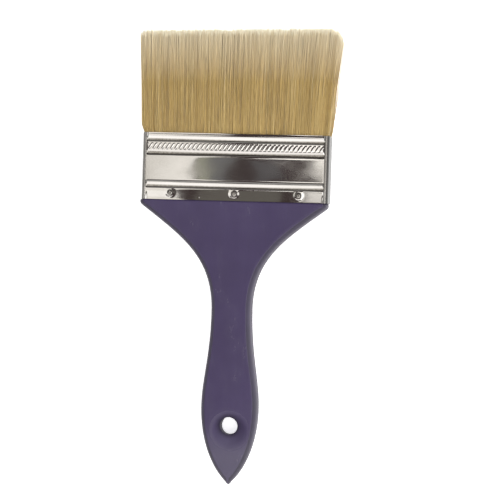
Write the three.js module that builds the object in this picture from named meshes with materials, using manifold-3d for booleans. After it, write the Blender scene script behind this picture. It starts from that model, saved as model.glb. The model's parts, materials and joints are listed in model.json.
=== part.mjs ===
// A four-inch flat paint brush: painted wooden handle, pressed tinplate ferrule held by six nails,
// and inside it the resin setting, two wooden plugs and the three bristle packs between them.
//
// Millimetres. The brush lies flat on its back: +Y runs from the handle's tail to the bristle tips,
// +X is to the right as the front face is seen, and +Z is up, out of the front face.

import * as THREE from 'three';
import { mergeVertices } from 'three/addons/utils/BufferGeometryUtils.js';
import Module from 'manifold-3d';

const wasm = await Module();
wasm.setup();

// ---- Driving dimensions ----

const HANDLE_LENGTH = 150.6; // tail tip to ferrule
const FERRULE_LENGTH = 35.5;
const BRISTLE_OUT = 55.7; // mouth of the ferrule to the tips, on the centre line
const CLEARANCE = 0.15; // between pieces that touch on the real brush

const FERRULE_WIDTH = 100;
const FERRULE_THICKNESS = 16;
const FERRULE_CORNER = 2.4;
const FERRULE_WALL = 0.4;

const SHOULDER_HALF_WIDTH = 49.8;
const SHOULDER_SIDE = 2.1; // straight side of the shoulder, below the ferrule
const SHOULDER_LEAN = -1.15; // the handle is set a little askew: its centre line at the ferrule
const TAIL_LEAN = 1.0; // and at the tail
const SHOULDER_CORNER_HALF_WIDTH = 47; // where the slope runs into the shoulder's rounded corner
const SHOULDER_CORNER_DROP = 4.2;
const NECK_HALF_WIDTH = 10.5;
const NECK_DROP = 58; // ferrule to the narrowest point
const BELLY_HALF_WIDTH = 15;
const BELLY_DROP = 109.5; // ferrule to the widest point of the grip
const SLOPE_HALF_WIDTH = 26.5; // the slope's pull towards the shoulder's corner
const SLOPE_DROP = 20;
const TAIL_FULLNESS = 8.4; // half width that the tail's edge is pulled towards on its way to the belly
const TAIL_PULL = 33.1; // the outline's control points, as lengths along the handle from the belly
const BELLY_PULL_BELOW = 19.1;
const BELLY_PULL_ABOVE = 15;
const NECK_PULL_BELOW = 24.3; // and from the neck
const NECK_PULL_ABOVE = 27.4;
const TAIL_RADIUS = 1.4;
const TAIL_END_HALF_WIDTH = 0.4;
const TAIL_TURN_HALF_WIDTH = 0.9; // where the blunt end turns into the tail's edge
const TAIL_TURN_RISE = 0.2;
const SHOULDER_THICKNESS = 15;
const TAIL_THICKNESS = 13;
const EDGE_ROUNDING = 2.4;
const TENON_LENGTH = 13;

const HOLE_DROP = 119.3; // ferrule to the centre of the hanging hole
const HOLE_RADIUS = 4.5;
const DISH_RADIUS = 8.2; // the dish sunk into each face around the hole
const DISH_DEPTH = 3.8;
const DISH_SHIFT_X = 0.8; // the dishes are cut off centre, mostly towards the tail
const DISH_SHIFT_Y = -2.2;

const NAIL_SPACING = 34.4;
const NAIL_RISE = 3.8; // above the ferrule's lower edge
const NAIL_HEAD_RADIUS = 1.55;
const NAIL_HEAD_HEIGHT = 0.5;
const NAIL_SHANK_RADIUS = 0.65;
const NAIL_LENGTH = 6;

const SETTING_LENGTH = 6;
const PLUG_LENGTH = 12;
const PLUG_WIDTH = 90;
const PLUG_THICKNESS = 2.2;
const PLUG_OFFSET = 2.6; // from the middle plane to the middle of each plug

const TIP_SPREAD = 2.9; // how far the bristles splay beyond the mouth at each end of their width
const TIP_BULGE = 1.1; // the same, through the thickness
const TRIM_SLANT = 1.2; // the trimmed edge is longer at the right end by this, shorter at the left
const TIP_CORNER_LEFT = 5;
const TIP_CORNER_RIGHT = 10;

// Heights of the pressed beads and grooves on the ferrule's two broad faces, going down from the mouth
const BEADS = [
  { drop: 0, height: 0.4 },
  { drop: 0.8, height: 0.7 },
  { drop: 2.9, height: 0 },
  { drop: 4, height: -0.3 },
  { drop: 4.7, height: 0.1 },
  { drop: 8.7, height: 0.2 },
  { drop: 10.2, height: -0.1 },
  { drop: 11, height: -0.3 },
  { drop: 12, height: 0 },
  { drop: 25.3, height: 0 },
  { drop: 26.3, height: 0.5 },
  { drop: 28.4, height: -0.3 },
  { drop: 29.5, height: 0 },
  { drop: FERRULE_LENGTH, height: 0 },
];

// ---- Places that follow from them ----

const TOTAL_LENGTH = HANDLE_LENGTH + FERRULE_LENGTH + BRISTLE_OUT;
const TAIL_Y = -(TOTAL_LENGTH + TRIM_SLANT) / 2;
const SHOULDER_Y = TAIL_Y + HANDLE_LENGTH;
const MOUTH_Y = SHOULDER_Y + FERRULE_LENGTH;
const TENON_TOP_Y = SHOULDER_Y + TENON_LENGTH;
const SETTING_TOP_Y = TENON_TOP_Y + SETTING_LENGTH;
const NAIL_Y = SHOULDER_Y + NAIL_RISE;
const HOLE_Y = SHOULDER_Y - HOLE_DROP;
const HOLE_X = leanAt(HOLE_Y);
const INNER_WIDTH = FERRULE_WIDTH - 2 * FERRULE_WALL;
const INNER_THICKNESS = FERRULE_THICKNESS - 2 * FERRULE_WALL;
const TALLEST_BEAD = Math.max(...BEADS.map((bead) => bead.height));
const DEEPEST_GROOVE = Math.min(...BEADS.map((bead) => bead.height));
const MID_Z = Math.max(FERRULE_THICKNESS / 2 + TALLEST_BEAD, INNER_THICKNESS / 2 + TIP_BULGE);

// ---- Materials ----

const paintedWood = new THREE.MeshStandardMaterial({ color: 0x53486a, roughness: 0.35, metalness: 0 });
const tinplate = new THREE.MeshStandardMaterial({ color: 0xc9c6c0, roughness: 0.18, metalness: 1 });
const nailSteel = new THREE.MeshStandardMaterial({ color: 0xb9b6b0, roughness: 0.25, metalness: 1 });
const bristle = new THREE.MeshStandardMaterial({ color: 0xaf965f, roughness: 0.7, metalness: 0 });
const resin = new THREE.MeshStandardMaterial({ color: 0xa8814a, roughness: 0.4, metalness: 0 });
const bareWood = new THREE.MeshStandardMaterial({ color: 0xc8a878, roughness: 0.8, metalness: 0 });

// ---- Solids ----

// A closed manifold solid from any closed three.js geometry
function solid(geometry) {
  const bare = geometry.clone();
  bare.deleteAttribute('normal');
  bare.deleteAttribute('uv');
  const merged = mergeVertices(bare, 1e-4);
  return new wasm.Manifold(new wasm.Mesh({
    numProp: 3,
    vertProperties: new Float32Array(merged.attributes.position.array),
    triVerts: new Uint32Array(merged.index.array),
  }));
}

// A three.js geometry from a manifold solid
function shell(body) {
  const { vertProperties, triVerts } = body.getMesh();
  const geometry = new THREE.BufferGeometry();
  geometry.setAttribute('position', new THREE.Float32BufferAttribute(vertProperties, 3));
  geometry.setIndex(new THREE.Uint32BufferAttribute(triVerts, 1));
  geometry.computeVertexNormals();
  return geometry;
}

function piece(name, geometry, material) {
  const mesh = new THREE.Mesh(geometry, material);
  mesh.name = name;
  return mesh;
}

// Every point of a geometry put through a function that changes it in place
function reshape(geometry, move) {
  const position = geometry.attributes.position;
  const point = new THREE.Vector3();
  for (let i = 0; i < position.count; i += 1) {
    point.fromBufferAttribute(position, i);
    move(point);
    position.setXYZ(i, point.x, point.y, point.z);
  }
  return geometry;
}

// A square of side 4 with corners of radius 1, so that each corner's arc is centred at (+-1, +-1)
function cornerSquare() {
  const quarter = Math.PI / 2;
  const outline = new THREE.Shape();
  outline.absarc(1, 1, 1, 0, quarter);
  outline.absarc(-1, 1, 1, quarter, 2 * quarter);
  outline.absarc(-1, -1, 1, 2 * quarter, 3 * quarter);
  outline.absarc(1, -1, 1, 3 * quarter, 4 * quarter);
  return outline;
}

// A body along Y about the brush's middle plane, with a rounded rectangle for its section at each row.
// Rows rise in y, and each gives its y, the section's half width and half thickness, and its corner radius.
function loft(rows) {
  const steps = rows.length - 1;
  const settings = { depth: steps, steps, bevelEnabled: false, curveSegments: 4 };
  const body = new THREE.ExtrudeGeometry(cornerSquare(), settings).rotateX(-Math.PI / 2);
  return reshape(body, (point) => {
    const row = rows[Math.round(point.y)];
    const sideX = Math.sign(point.x);
    const sideZ = Math.sign(point.z);
    const arcX = (point.x - sideX) * row.corner;
    const arcZ = (point.z - sideZ) * row.corner;
    point.x = sideX * (row.halfWidth - row.corner) + arcX;
    point.y = row.y;
    point.z = MID_Z + sideZ * (row.halfThickness - row.corner) + arcZ;
  });
}

// The section of whatever fills the ferrule's bore: it passes under the grooves pressed into the wall
const FILLING = {
  halfWidth: INNER_WIDTH / 2 - CLEARANCE,
  halfThickness: INNER_THICKNESS / 2 + DEEPEST_GROOVE - CLEARANCE,
  corner: FERRULE_CORNER - FERRULE_WALL,
};

function filling(fromY, toY) {
  return loft([{ ...FILLING, y: fromY }, { ...FILLING, y: toY }]);
}

// A round pin through the brush at one place, from one height to another
function pin(radius, x, y, fromZ, toZ) {
  const geometry = new THREE.CylinderGeometry(radius, radius, toZ - fromZ, 16);
  return geometry.rotateX(Math.PI / 2).translate(x, y, (fromZ + toZ) / 2);
}

// Where the nails go: three on each broad face, the back ones facing down
const NAILS = ['front', 'back'].flatMap((side) => ['left', 'centre', 'right'].map((place, i) => ({
  name: `nail_${side}_${place}`,
  x: (i - 1) * NAIL_SPACING,
  facing: side === 'front' ? 1 : -1,
})));

// The holes that the nails pass through, a little wider and deeper than the nails
function nailHoles() {
  const radius = NAIL_SHANK_RADIUS + CLEARANCE;
  const face = FERRULE_THICKNESS / 2 + 1;
  const end = FERRULE_THICKNESS / 2 - NAIL_LENGTH - 2 * CLEARANCE;
  return NAILS.map(({ x, facing }) => {
    const heights = [MID_Z + facing * face, MID_Z + facing * end];
    return solid(pin(radius, x, NAIL_Y, Math.min(...heights), Math.max(...heights)));
  });
}

// ---- Handle ----

// The handle's centre line runs straight, but a little aslant, from the ferrule to the tail
function leanAt(y) {
  return THREE.MathUtils.lerp(SHOULDER_LEAN, TAIL_LEAN, (SHOULDER_Y - y) / HANDLE_LENGTH);
}

// The handle's edge, from the tail up to the shoulder: x is its half width. Each curve's control points
// lie straight along the handle from its two ends, so that the curves meet without a corner.
function handleEdge() {
  const drop = (distance) => SHOULDER_Y - distance;
  const edge = new THREE.Path();
  edge.moveTo(TAIL_END_HALF_WIDTH, TAIL_Y);
  edge.quadraticCurveTo(
    TAIL_TURN_HALF_WIDTH, TAIL_Y + TAIL_TURN_RISE, TAIL_RADIUS, TAIL_Y + TAIL_RADIUS);
  edge.bezierCurveTo(
    TAIL_FULLNESS, drop(BELLY_DROP + TAIL_PULL), BELLY_HALF_WIDTH, drop(BELLY_DROP + BELLY_PULL_BELOW),
    BELLY_HALF_WIDTH, drop(BELLY_DROP));
  edge.bezierCurveTo(
    BELLY_HALF_WIDTH, drop(BELLY_DROP - BELLY_PULL_ABOVE),
    NECK_HALF_WIDTH, drop(NECK_DROP + NECK_PULL_BELOW),
    NECK_HALF_WIDTH, drop(NECK_DROP));
  edge.bezierCurveTo(
    NECK_HALF_WIDTH, drop(NECK_DROP - NECK_PULL_ABOVE), SLOPE_HALF_WIDTH, drop(SLOPE_DROP),
    SHOULDER_CORNER_HALF_WIDTH, drop(SHOULDER_CORNER_DROP));
  edge.quadraticCurveTo(
    SHOULDER_HALF_WIDTH, drop(SHOULDER_SIDE), SHOULDER_HALF_WIDTH, drop(SHOULDER_SIDE - 1));
  edge.lineTo(SHOULDER_HALF_WIDTH, drop(CLEARANCE));
  return edge.getPoints(10);
}

// The handle is thickest at the shoulder and thins evenly towards the tail
function thicknessAt(y) {
  const share = (SHOULDER_Y - y) / HANDLE_LENGTH;
  return THREE.MathUtils.lerp(SHOULDER_THICKNESS, TAIL_THICKNESS, share);
}

function handleSlab() {
  const body = loft(handleEdge().map(({ x, y }) => ({
    y,
    halfWidth: x,
    halfThickness: thicknessAt(y) / 2,
    corner: Math.min(EDGE_ROUNDING, 0.9 * x),
  })));
  return reshape(body, (point) => {
    point.x += leanAt(point.y);
  });
}

// The hanging hole's straight bore
function hangingBore() {
  const reach = SHOULDER_THICKNESS;
  const bore = new THREE.CylinderGeometry(HOLE_RADIUS, HOLE_RADIUS, 2 * reach, 32);
  return bore.rotateX(Math.PI / 2).translate(HOLE_X, HOLE_Y, MID_Z);
}

// The round dish around the hole, sunk into the face that looks up (1) or down (-1)
function hangingDish(facing) {
  const profile = new THREE.Path();
  profile.moveTo(0, -DISH_DEPTH);
  profile.quadraticCurveTo(0.72 * DISH_RADIUS, -DISH_DEPTH, DISH_RADIUS, 0);
  profile.lineTo(DISH_RADIUS + 0.5, 1);
  profile.lineTo(0, 1);
  const dish = new THREE.LatheGeometry(profile.getPoints(5), 32).rotateX(facing * Math.PI / 2);
  const y = HOLE_Y + DISH_SHIFT_Y;
  return dish.translate(HOLE_X + DISH_SHIFT_X, y, MID_Z + facing * thicknessAt(y) / 2);
}

function handle() {
  const tenon = filling(SHOULDER_Y - EDGE_ROUNDING, TENON_TOP_Y - CLEARANCE);
  const hanging = [hangingBore(), hangingDish(1), hangingDish(-1)].map(solid);
  let body = solid(handleSlab()).add(solid(tenon));
  for (const hole of [...hanging, ...nailHoles()]) {
    body = body.subtract(hole);
  }
  return piece('handle', shell(body), paintedWood);
}

// ---- Ferrule ----

// The pressed sheet followed up from the lower edge, with its beads, a given depth under the outer skin
function ferruleSkin(depth) {
  return [...BEADS].reverse().map(({ drop, height }) => ({
    y: MOUTH_Y - drop,
    halfWidth: FERRULE_WIDTH / 2 - depth,
    halfThickness: FERRULE_THICKNESS / 2 + height - depth,
    corner: FERRULE_CORNER - depth,
  }));
}

function ferrule() {
  const bore = ferruleSkin(FERRULE_WALL);
  const below = { ...bore[0], y: SHOULDER_Y - 1 };
  const above = { ...bore[bore.length - 1], y: MOUTH_Y + 1 };
  let body = solid(loft(ferruleSkin(0))).subtract(solid(loft([below, ...bore, above])));
  for (const hole of nailHoles()) {
    body = body.subtract(hole);
  }
  return piece('ferrule', shell(body), tinplate);
}

// ---- Nails ----

// One nail standing along its own Y axis, with its head's underside at the origin
function nailGeometry() {
  const profile = new THREE.Path();
  profile.moveTo(0, -NAIL_LENGTH);
  profile.lineTo(NAIL_SHANK_RADIUS, -NAIL_LENGTH + 1.5);
  profile.lineTo(NAIL_SHANK_RADIUS, 0);
  profile.lineTo(NAIL_HEAD_RADIUS, 0);
  profile.quadraticCurveTo(NAIL_HEAD_RADIUS, NAIL_HEAD_HEIGHT, 0, NAIL_HEAD_HEIGHT);
  return new THREE.LatheGeometry(profile.getPoints(4), 16);
}

function nails() {
  return NAILS.map(({ name, x, facing }) => {
    const nail = piece(name, nailGeometry(), nailSteel);
    nail.rotation.x = facing * Math.PI / 2;
    nail.position.set(x, NAIL_Y, MID_Z + facing * (FERRULE_THICKNESS / 2 + CLEARANCE));
    return nail;
  });
}

// ---- Inside the ferrule ----

function setting() {
  return piece('resin_setting', filling(TENON_TOP_Y, SETTING_TOP_Y - CLEARANCE), resin);
}

function plugGeometry(facing, slack = 0) {
  const body = new THREE.BoxGeometry(
    PLUG_WIDTH + 2 * slack, PLUG_LENGTH + 2 * slack, PLUG_THICKNESS + 2 * slack);
  return body.translate(0, SETTING_TOP_Y + PLUG_LENGTH / 2, MID_Z + facing * PLUG_OFFSET);
}

function plugs() {
  return [piece('plug_front', plugGeometry(1), bareWood), piece('plug_back', plugGeometry(-1), bareWood)];
}

// ---- Bristles ----

// All the bristles as one body, filling the ferrule's bore and splaying beyond its mouth
function splayedBundle() {
  const splayed = (out) => ({
    y: MOUTH_Y + out * BRISTLE_OUT,
    halfWidth: FILLING.halfWidth + out * TIP_SPREAD,
    halfThickness: THREE.MathUtils.lerp(FILLING.halfThickness, INNER_THICKNESS / 2 + TIP_BULGE, out),
    corner: FILLING.corner,
  });
  const beyondTips = { ...splayed(1), y: splayed(1).y + TIP_SPREAD };
  return loft([{ ...FILLING, y: SETTING_TOP_Y }, splayed(0), splayed(1), beyondTips]);
}

// The trimmed edge: nearly straight and a little longer at the right, with its two corners rounded
function trimmedEdge() {
  const half = FERRULE_WIDTH / 2 + TIP_SPREAD;
  const tipY = MOUTH_Y + BRISTLE_OUT;
  const leftY = tipY - TRIM_SLANT;
  const rightY = tipY + TRIM_SLANT;
  const outline = new THREE.Shape();
  outline.moveTo(-half, SETTING_TOP_Y - 1);
  outline.lineTo(half, SETTING_TOP_Y - 1);
  outline.lineTo(half, rightY - TIP_CORNER_RIGHT);
  outline.quadraticCurveTo(half - 1, rightY, half - TIP_CORNER_RIGHT, rightY);
  outline.lineTo(TIP_CORNER_LEFT - half, leftY);
  outline.quadraticCurveTo(1 - half, leftY, -half, leftY - TIP_CORNER_LEFT);
  outline.closePath();
  const settings = { depth: 2 * FERRULE_THICKNESS, bevelEnabled: false, curveSegments: 6 };
  return new THREE.ExtrudeGeometry(outline, settings).translate(0, 0, MID_Z - FERRULE_THICKNESS);
}

// The plugs part the bundle into three packs, each running from one height to another
function bristlePacks() {
  let bundle = solid(splayedBundle()).intersect(solid(trimmedEdge()));
  for (const facing of [1, -1]) {
    bundle = bundle.subtract(solid(plugGeometry(facing, CLEARANCE)));
  }
  const layers = [
    { name: 'bristles_back', low: -FERRULE_THICKNESS, high: -PLUG_OFFSET - CLEARANCE },
    { name: 'bristles_middle', low: -PLUG_OFFSET + CLEARANCE, high: PLUG_OFFSET - CLEARANCE },
    { name: 'bristles_front', low: PLUG_OFFSET + CLEARANCE, high: FERRULE_THICKNESS },
  ];
  return layers.map(({ name, low, high }) => {
    const slice = new THREE.BoxGeometry(2 * FERRULE_WIDTH, 2 * TOTAL_LENGTH, high - low);
    slice.translate(0, 0, MID_Z + (low + high) / 2);
    return piece(name, shell(bundle.intersect(solid(slice))), bristle);
  });
}

// ---- The brush ----

const brush = new THREE.Group();
brush.add(handle(), ferrule(), ...nails(), setting(), ...plugs(), ...bristlePacks());

export default brush;
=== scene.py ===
"""A four-inch flat paint brush lying on a pale floor, seen from above.

Lengths inside this script are millimetres in the frame's own axes: +Y runs from the handle's tail
to the bristle tips, +X is to the right and +Z is up, out of the brush's front face.
mesh_object() turns them into metres.
"""

import json
import math

import bpy
import numpy as np
from mathutils import Matrix, Vector


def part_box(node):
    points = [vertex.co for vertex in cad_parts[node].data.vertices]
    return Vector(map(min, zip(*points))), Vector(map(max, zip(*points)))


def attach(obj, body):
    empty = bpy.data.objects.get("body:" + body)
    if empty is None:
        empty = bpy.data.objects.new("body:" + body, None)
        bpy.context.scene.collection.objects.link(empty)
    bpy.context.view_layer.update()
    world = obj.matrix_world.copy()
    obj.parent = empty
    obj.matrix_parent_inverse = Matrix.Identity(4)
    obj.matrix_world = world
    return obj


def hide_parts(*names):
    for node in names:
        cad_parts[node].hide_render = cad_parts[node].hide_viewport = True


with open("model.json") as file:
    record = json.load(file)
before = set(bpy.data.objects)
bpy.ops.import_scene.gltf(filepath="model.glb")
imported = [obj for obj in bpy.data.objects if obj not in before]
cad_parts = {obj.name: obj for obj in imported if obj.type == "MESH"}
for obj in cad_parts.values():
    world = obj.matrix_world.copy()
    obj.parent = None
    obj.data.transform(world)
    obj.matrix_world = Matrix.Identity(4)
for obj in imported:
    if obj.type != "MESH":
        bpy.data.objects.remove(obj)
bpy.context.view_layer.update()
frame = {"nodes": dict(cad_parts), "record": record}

MM = 0.001
BODY = "root"


# ---- Places read from the frame ----

def box_mm(node):
    low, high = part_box(node)
    return np.array(low) / MM, np.array(high) / MM


def mount_mm(name):
    mount = next(m for m in frame["record"]["mounts"] if m["name"] == name)
    return np.array(mount["pos_m"]) / MM


FERRULE_LOW, FERRULE_HIGH = box_mm("ferrule")
HANDLE_LOW, HANDLE_HIGH = box_mm("handle")
_, SETTING_HIGH = box_mm("resin_setting")
PLUG_LOW, PLUG_HIGH = box_mm("plug_front")
HOLE_X, HOLE_Y, _ = mount_mm("hanging_hole")

MIDDLE_Z = (FERRULE_LOW[2] + FERRULE_HIGH[2]) / 2
TAIL_Y = HANDLE_LOW[1]
SHOULDER_Y = FERRULE_LOW[1]
MOUTH_Y = FERRULE_HIGH[1]
TENON_TOP_Y = HANDLE_HIGH[1]
ROOT_Y = SETTING_HIGH[1]
PLUG_TOP_Y = PLUG_HIGH[1]
SHOULDER_HALF_WIDTH = (HANDLE_HIGH[0] - HANDLE_LOW[0]) / 2
SHOULDER_LEAN = (HANDLE_HIGH[0] + HANDLE_LOW[0]) / 2
FERRULE_HALF_WIDTH = FERRULE_HIGH[0]
FERRULE_LENGTH = MOUTH_Y - SHOULDER_Y
FILLING_HALF_WIDTH = SETTING_HIGH[0]
FILLING_HALF_THICKNESS = SETTING_HIGH[2] - MIDDLE_Z
PACKS = ("front", "middle", "back")
TIP_Y = sum(box_mm(f"bristles_{pack}")[1][1] for pack in PACKS) / len(PACKS)
NAIL_LOW, NAIL_HIGH = box_mm("nail_front_centre")
NAIL_Y = (NAIL_LOW[1] + NAIL_HIGH[1]) / 2


# ---- Mesh tools ----

def smoothstep(low, high, value):
    share = np.clip((value - low) / (high - low), 0, 1)
    return share * share * (3 - 2 * share)


def bezier(controls, count):
    """A Bezier arc of any order, as count + 1 points."""
    t = np.linspace(0, 1, count + 1)[:, None]
    order = len(controls) - 1
    arc = 0
    for k, control in enumerate(controls):
        arc = arc + math.comb(order, k) * (1 - t) ** (order - k) * t ** k * np.array(control, float)
    return arc


def waves(x, y, length, seed):
    """A smooth random surface between about -1 and 1, made of waves of about the given length."""
    rng = np.random.default_rng(seed)
    total = 0
    for _ in range(7):
        angle = rng.uniform(0, math.tau)
        pace = math.tau / (length * rng.uniform(0.7, 1.6))
        along = x * math.cos(angle) + y * math.sin(angle)
        total = total + np.sin(pace * along + rng.uniform(0, math.tau))
    return total / 3.5


def grid_quads(rows, columns, start=0):
    """The quads of a sheet of rows that each close on themselves after their last column."""
    row, column = np.mgrid[0:rows - 1, 0:columns]
    here = start + row * columns + column
    beside = start + row * columns + (column + 1) % columns
    return np.stack([here, beside, beside + columns, here + columns], -1)


def mesh_object(name, points, faces, sharp_deg=45):
    """A smooth-shaded object from points in millimetres, sharp where it folds past sharp_deg."""
    mesh = bpy.data.meshes.new(name)
    mesh.from_pydata((np.asarray(points) * MM).tolist(), [], [list(face) for face in faces])
    mesh.validate()
    mesh.shade_smooth()
    mesh.set_sharp_from_angle(angle=math.radians(sharp_deg))
    obj = bpy.data.objects.new(name, mesh)
    bpy.context.scene.collection.objects.link(obj)
    return obj


def point_values(obj, name, values):
    """Stores one number per vertex, for the materials to read."""
    layer = obj.data.attributes.new(name, "FLOAT", "POINT")
    layer.data.foreach_set("value", np.asarray(values, np.float32))


def place(obj, material, slot, *nodes):
    """Gives a piece its material, hangs it on the body it rides on, and hides the frame's parts it
    stands for.
    """
    obj.data.materials.append(material)
    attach(obj, BODY)
    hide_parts(*nodes)


# ---- Material tools ----

class Finish:
    """A node material in the making: its shader, and the patterns that feed it."""

    def __init__(self, name, **sockets):
        self.material = bpy.data.materials.new(name)
        self.material.use_nodes = True
        self.tree = self.material.node_tree
        self.shader = self.tree.nodes["Principled BSDF"]
        for socket, value in sockets.items():
            self.shader.inputs[socket.replace("_", " ")].default_value = value

    def node(self, kind, inputs=None, **settings):
        made = self.tree.nodes.new(kind)
        for key, value in settings.items():
            setattr(made, key, value)
        for key, value in (inputs or {}).items():
            if isinstance(value, bpy.types.NodeSocket):
                self.tree.links.new(value, made.inputs[key])
            else:
                made.inputs[key].default_value = value
        return made

    def feed(self, socket, source):
        self.tree.links.new(source, self.shader.inputs[socket])

    def value(self, name):
        """A number stored on the mesh."""
        return self.node("ShaderNodeAttribute", attribute_name=name).outputs["Fac"]

    def noise(self, length, stretch=(1, 1, 1), detail=3.0, roughness=0.5):
        """Noise with features of about this many millimetres, drawn out along the axes."""
        place_of = self.node("ShaderNodeTexCoord").outputs["Object"]
        scale = [1 / (length * MM * s) for s in stretch]
        mapped = self.node("ShaderNodeMapping", {"Vector": place_of, "Scale": scale})
        inputs = {"Vector": mapped.outputs["Vector"], "Scale": 1.0, "Detail": detail,
                  "Roughness": roughness}
        return self.node("ShaderNodeTexNoise", inputs).outputs["Fac"]

    def spread(self, source, low, high, to_low=0.0, to_high=1.0):
        """A pattern's range from low to high, mapped to another range and held there."""
        inputs = {"Value": source, "From Min": low, "From Max": high, "To Min": to_low,
                  "To Max": to_high}
        return self.node("ShaderNodeMapRange", inputs, clamp=True).outputs["Result"]

    def math(self, operation, first, second):
        return self.node("ShaderNodeMath", {0: first, 1: second}, operation=operation).outputs[0]

    def patchy(self, name, pattern, *limits):
        """A number stored on the mesh, made uneven by a pattern spread between limits."""
        return self.math("MULTIPLY", self.value(name), self.spread(pattern, *limits))

    def ramp(self, source, stops):
        """Colours along a pattern, from stops of (position, colour)."""
        made = self.node("ShaderNodeValToRGB", {"Fac": source})
        band = made.color_ramp
        while len(band.elements) < len(stops):
            band.elements.new(1.0)
        for element, (position, colour) in zip(band.elements, stops):
            element.position = position
            element.color = (*colour, 1)
        return made.outputs["Color"]

    def mix(self, share, first, second):
        """Two colours mixed. A share of 0 gives the first."""
        made = self.node("ShaderNodeMix", data_type="RGBA")
        for index, value in ((0, share), (6, first), (7, second)):
            if isinstance(value, bpy.types.NodeSocket):
                self.tree.links.new(value, made.inputs[index])
            else:
                made.inputs[index].default_value = value if index == 0 else (*value, 1)
        return made.outputs[2]

    def bump(self, source, height_mm, strength=1.0, under=None):
        inputs = {"Height": source, "Distance": height_mm * MM, "Strength": strength}
        if under is not None:
            inputs["Normal"] = under
        return self.node("ShaderNodeBump", inputs).outputs["Normal"]


def painted_wood():
    """Purple gloss paint over sanded wood, with faint grain and smudges.

    Light is painted in: a grey reflection on the rounded edges, shade around the bore and a sheen
    on the tail.
    """
    finish = Finish("painted_wood", IOR=1.46)
    grain = finish.noise(0.9, stretch=(1, 22, 1), detail=4)
    cloud = finish.noise(26, detail=2)
    smudge = finish.noise(9, stretch=(1, 2.2, 1), detail=5, roughness=0.6)
    paint = finish.ramp(finish.spread(cloud, 0.3, 0.7), [
        (0.0, (0.050, 0.036, 0.091)),
        (1.0, (0.062, 0.046, 0.110)),
    ])
    paint = finish.mix(finish.spread(grain, 0.35, 0.75, 0.0, 0.22), paint, (0.048, 0.037, 0.078))
    paint = finish.mix(finish.spread(smudge, 0.55, 0.8, 0.0, 0.12), paint, (0.16, 0.15, 0.18))
    for name, pattern, least, most, colour in (
            # painted sheen: the tail paler, as where it catches the light
            ("tail_sheen", cloud, 0.22, 0.34, (0.175, 0.17, 0.21)),
            # painted reflection: the rounded edges greyer
            ("edge", smudge, 0.45, 0.75, (0.052, 0.049, 0.060)),
            # painted shade: a dark ring around the bore
            ("bore_shade", smudge, 0.5, 0.8, (0.012, 0.010, 0.018))):
        share = finish.patchy(name, pattern, 0.25, 0.7, least, most)
        paint = finish.mix(share, paint, colour)
    finish.feed("Base Color", paint)
    gloss = finish.spread(smudge, 0.3, 0.75, 0.2, 0.3)
    matt = finish.math("MAXIMUM", finish.value("edge"), finish.value("dished"))
    finish.feed("Roughness", finish.math("ADD", gloss, finish.spread(matt, 0, 1, 0, 0.36)))
    orange_peel = finish.bump(finish.noise(1.6, detail=2), 0.02, 0.35)
    finish.feed("Normal", finish.bump(grain, 0.03, 0.45, orange_peel))
    return finish.material


def tinplate():
    """Bright tin plated steel, with fine drawing lines and smudges.

    It is darker in the pressed grooves, and rougher with painted shade on the rounded ends.
    """
    finish = Finish("tinplate", Metallic=1.0)
    lines = finish.noise(0.12, stretch=(220, 1, 220), detail=3)
    smudge = finish.noise(12, stretch=(1.6, 1, 1), detail=5, roughness=0.6)
    specks = finish.noise(0.8, detail=4, roughness=0.7)
    sheet = finish.ramp(finish.spread(smudge, 0.3, 0.75), [
        (0.0, (0.80, 0.785, 0.755)),
        (1.0, (0.72, 0.70, 0.665)),
    ])
    sheet = finish.mix(finish.spread(specks, 0.62, 0.85, 0.0, 0.25), sheet, (0.50, 0.47, 0.42))
    # painted shade: the rounded ends and side walls nearly black
    dull_and_shaded = finish.patchy("dull_and_shaded", specks, 0.2, 0.6, 0.94, 1.0)
    sheet = finish.mix(dull_and_shaded, sheet, (0.03, 0.032, 0.03))
    # darker in the pressed grooves above the lower strip
    groove_darkening = finish.patchy("recess", specks, 0.3, 0.6, 0.6, 1.0)
    sheet = finish.mix(groove_darkening, sheet, (0.24, 0.225, 0.19))
    finish.feed("Base Color", sheet)
    polish = finish.spread(smudge, 0.3, 0.75, 0.035, 0.08)
    scuffed = finish.spread(dull_and_shaded, 0.0, 0.5, 0.0, 0.3)
    finish.feed("Roughness", finish.math("ADD", polish, scuffed))
    ripple = finish.bump(finish.noise(9, detail=0), 0.02, 0.2)
    finish.feed("Normal", finish.bump(lines, 0.002, 0.12, ripple))
    return finish.material


def nail_steel():
    """Plated steel nail heads, scuffed by the hammer."""
    finish = Finish("nail_steel", Metallic=1.0)
    scuffs = finish.noise(0.45, detail=4, roughness=0.65)
    steel = finish.ramp(finish.spread(scuffs, 0.35, 0.7), [
        (0.0, (0.46, 0.44, 0.41)),
        (1.0, (0.22, 0.21, 0.19)),
    ])
    finish.feed("Base Color", steel)
    finish.feed("Roughness", finish.spread(scuffs, 0.35, 0.7, 0.13, 0.30))
    finish.feed("Normal", finish.bump(scuffs, 0.01, 0.3))
    return finish.material


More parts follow.
